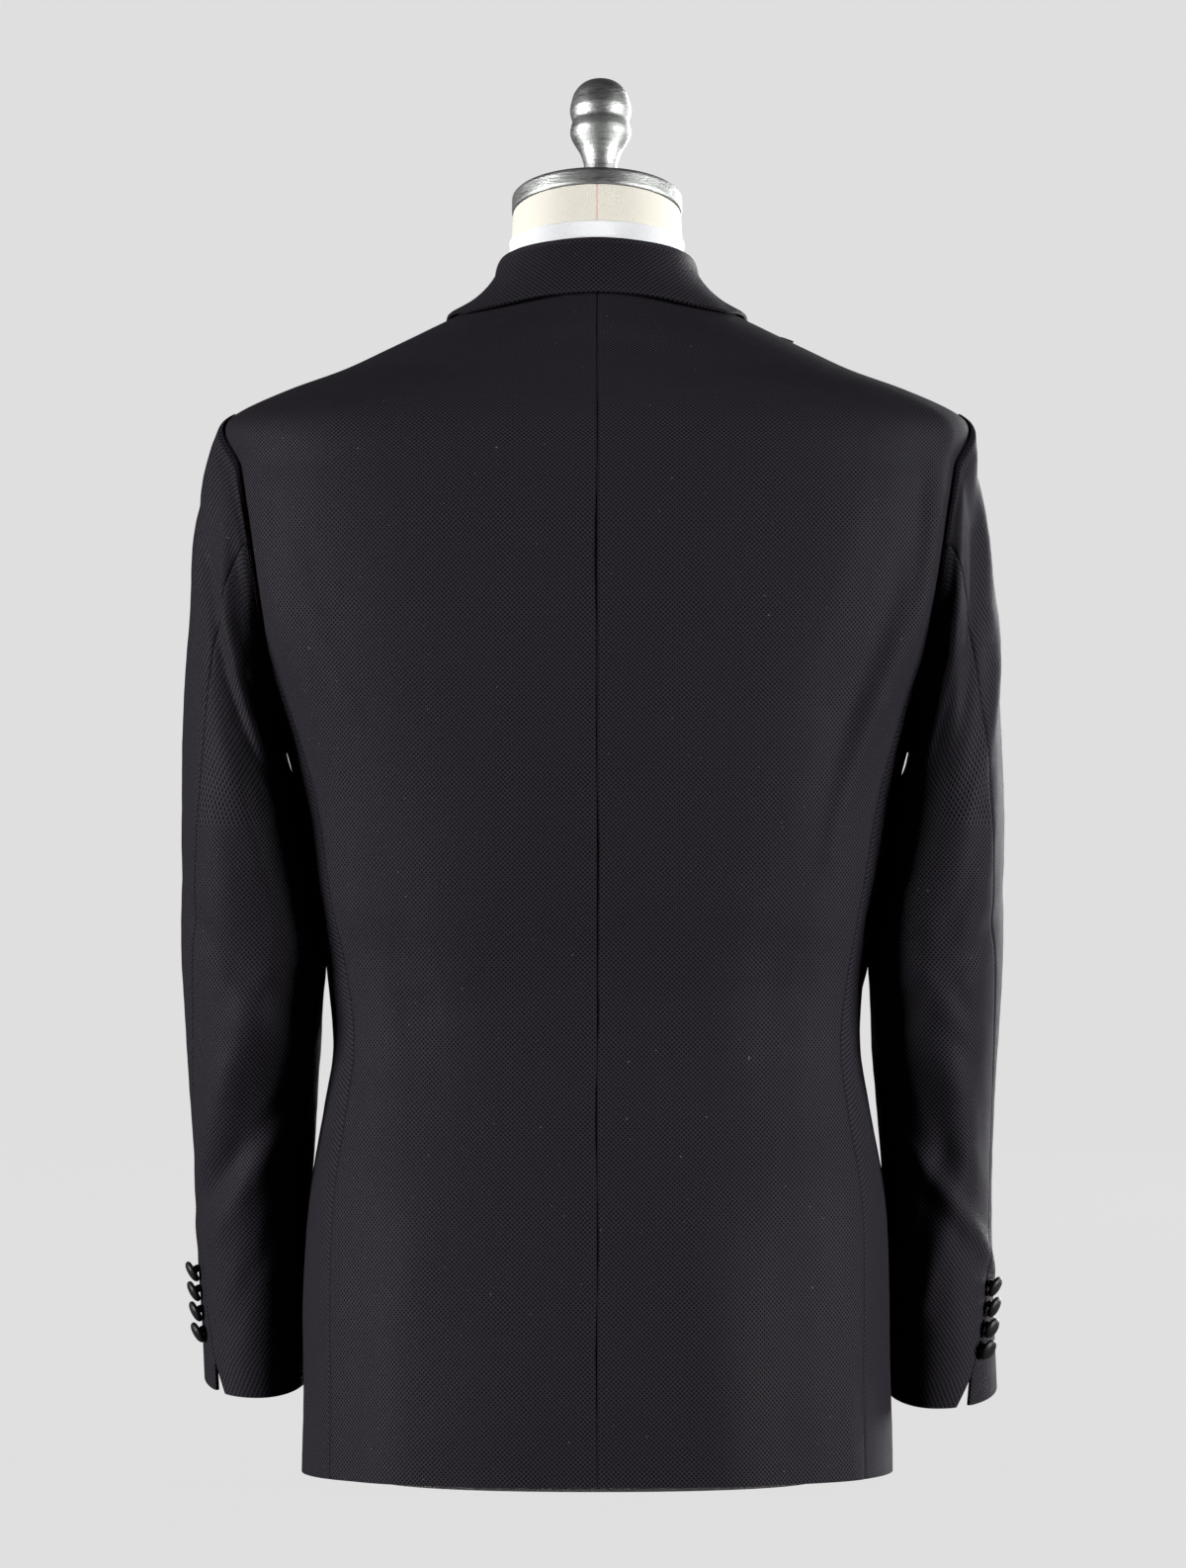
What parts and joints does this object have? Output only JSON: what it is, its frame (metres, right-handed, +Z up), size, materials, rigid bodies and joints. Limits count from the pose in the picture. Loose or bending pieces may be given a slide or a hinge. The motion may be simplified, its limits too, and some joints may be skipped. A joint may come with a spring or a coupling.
{
  "type": "tuxedo jacket on a limbless dress form",
  "caption": "Black single-breasted tuxedo jacket with folded collar and ventless back, standing on a limbless white dress form with a linen neck, aluminium cap and turned knob",
  "frame": {"origin": "Centre of the bounding box on the floor, under the dress form's flat foot", "axes": "+Z is up. The front of the jacket faces -Y and its back faces +Y. +X is the wearer's left."},
  "size_m": [0.4998, 0.2746, 0.8521],
  "materials": {
    "black_cloth": "black jacquard suiting with a small lattice and a soft sheen",
    "black_satin": "black satin",
    "white_jersey": "matte cotton jersey",
    "cream_linen": "plain linen weave",
    "cast_aluminium": "cast and softly brushed"
  },
  "bodies": {
    "root": {"back_left": "black_cloth", "back_right": "black_cloth", "collar": "black_cloth", "cuff_button_left_1": "black_satin", "cuff_button_left_2": "black_satin", "cuff_button_left_3": "black_satin", "cuff_button_left_4": "black_satin", "cuff_button_right_1": "black_satin", "cuff_button_right_2": "black_satin", "cuff_button_right_3": "black_satin", "cuff_button_right_4": "black_satin", "finial_knob": "cast_aluminium", "form_neck": "cream_linen", "form_torso": "white_jersey", "front_button": "black_satin", "front_left": "black_cloth", "front_right": "black_cloth", "lapel_left": "black_satin", "lapel_right": "black_satin", "neck_cap": "cast_aluminium", "side_left": "black_cloth", "side_right": "black_cloth", "top_sleeve_left": "black_cloth", "top_sleeve_right": "black_cloth", "under_sleeve_left": "black_cloth", "under_sleeve_right": "black_cloth"}
  },
  "joints": []
}
